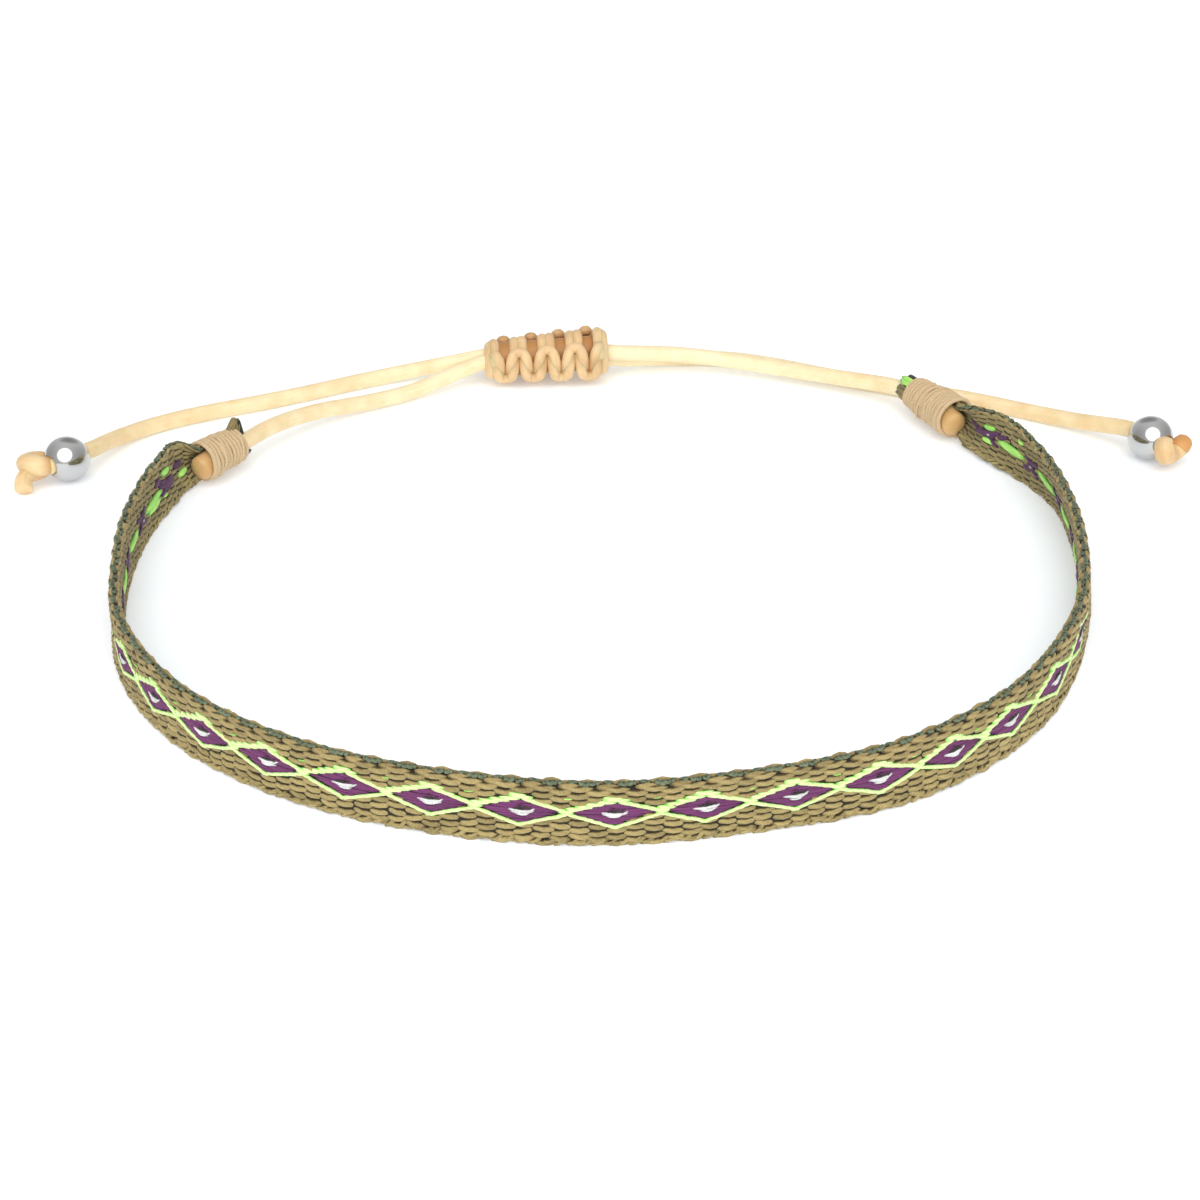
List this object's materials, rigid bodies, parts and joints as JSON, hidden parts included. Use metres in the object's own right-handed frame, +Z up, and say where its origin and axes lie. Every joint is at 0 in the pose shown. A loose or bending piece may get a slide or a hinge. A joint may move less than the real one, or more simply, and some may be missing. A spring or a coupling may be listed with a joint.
{
  "type": "friendship bracelet",
  "caption": "Narrow woven band with a diamond pattern, standing on its edge as an open loop and closed by satin cords in a sliding knot with steel end beads.",
  "frame": {"origin": "middle of the floor under the bracelet's loop, on the surface it rests on", "axes": "+Z up from the surface, +Y from the front of the loop towards the sliding knot, +X to the right"},
  "size_m": [0.1035, 0.0793, 0.0047],
  "materials": {
    "woven_thread": "warp-faced weave with small neon, purple and silver diamonds",
    "binding_thread": "waxed thread, wound side by side",
    "satin_cord": "satin",
    "polished_steel": "polished"
  },
  "bodies": {
    "root": {"woven_band": "woven_thread", "left_wrap": "binding_thread", "right_wrap": "binding_thread", "left_cord": "satin_cord", "right_cord": "satin_cord", "slider_knot": "satin_cord", "left_bead": "polished_steel", "right_bead": "polished_steel", "left_stopper_knot": "satin_cord", "right_stopper_knot": "satin_cord"}
  },
  "joints": []
}
